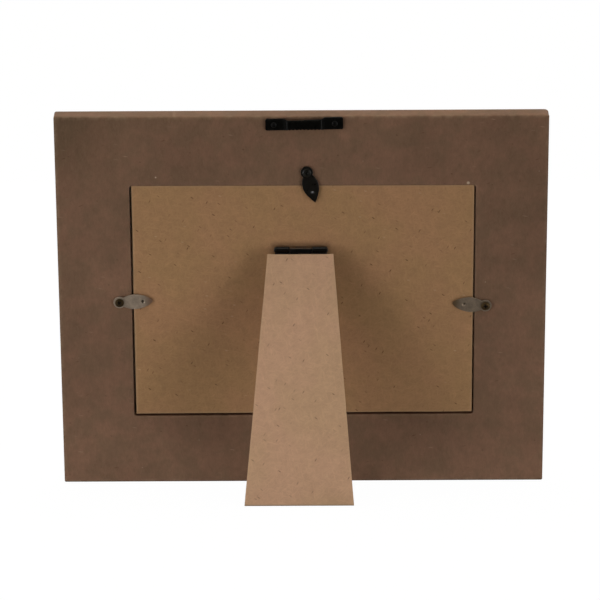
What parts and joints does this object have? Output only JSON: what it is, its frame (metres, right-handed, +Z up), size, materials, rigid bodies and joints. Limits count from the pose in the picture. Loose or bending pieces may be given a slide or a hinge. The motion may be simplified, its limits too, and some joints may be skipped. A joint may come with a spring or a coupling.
{
  "type": "photo frame",
  "caption": "Table or wall photo frame: a wide flat painted border round a glazed print, a backing panel held by turn buttons, a folding easel strut and a sawtooth hanger.",
  "frame": {"origin": "centre of the footprint, on the surface that the frame stands on", "axes": "+X across the frame, to the left as seen from behind; +Y out of the back, where the strut is; +Z up. The board leans back by 14.4 degrees."},
  "size_m": [0.258, 0.087, 0.2041],
  "materials": {
    "painted_board": "brown paint over fine fibreboard, satin, faint mottling and scratches",
    "panel_fibreboard": "raw tan fibreboard, matt, with fine dark fibres",
    "strut_fibreboard": "raw light fibreboard, matt, with fine fibres",
    "glass": "clear polished sheet glass",
    "print_paper": "smooth photographic paper",
    "card": "plain packing card",
    "black_steel": "black finished pressed steel, semi-gloss",
    "rivet_steel": "dark plated steel",
    "button_steel": "dull grey plated steel, pressed and slightly worn",
    "screw_steel": "darkened steel"
  },
  "bodies": {
    "frame": {"frame_board": "painted_board", "glass_pane": "glass", "photo_print": "print_paper", "filler_card": "card", "backing_panel": "panel_fibreboard", "hinge_panel_leaf": "black_steel", "hinge_pin": "rivet_steel", "panel_rivet_left": "rivet_steel", "panel_rivet_right": "rivet_steel", "turn_screw_left": "screw_steel", "turn_screw_right": "screw_steel", "turn_screw_top": "black_steel", "sawtooth_hanger": "black_steel", "hanger_nail_left": "black_steel", "hanger_nail_right": "black_steel"},
    "strut": {"easel_strut": "strut_fibreboard", "hinge_strut_leaf": "black_steel", "strut_rivet_left": "rivet_steel", "strut_rivet_right": "rivet_steel"},
    "button_left": {"turn_button_left": "button_steel"},
    "button_right": {"turn_button_right": "button_steel"},
    "button_top": {"turn_button_top": "black_steel"}
  },
  "joints": [
    {"name": "strut_fold", "type": "hinge", "parent": "frame", "child": "strut", "pos_m": [0.0006, 0.0027, 0.12982], "axis": [-1, 0, 0], "range_deg": [0, 30]},
    {"name": "button_left_turn", "type": "hinge", "parent": "frame", "child": "button_left", "pos_m": [0.09685, -0.00634, 0.10148], "axis": [0, 0.9686, -0.2487], "continuous": true},
    {"name": "button_right_turn", "type": "hinge", "parent": "frame", "child": "button_right", "pos_m": [-0.097, -0.00703, 0.09877], "axis": [0, 0.9686, -0.2487], "continuous": true},
    {"name": "button_top_turn", "type": "hinge", "parent": "frame", "child": "button_top", "pos_m": [-0.0027, 0.01174, 0.17189], "axis": [0, 0.9686, -0.2487], "continuous": true}
  ]
}
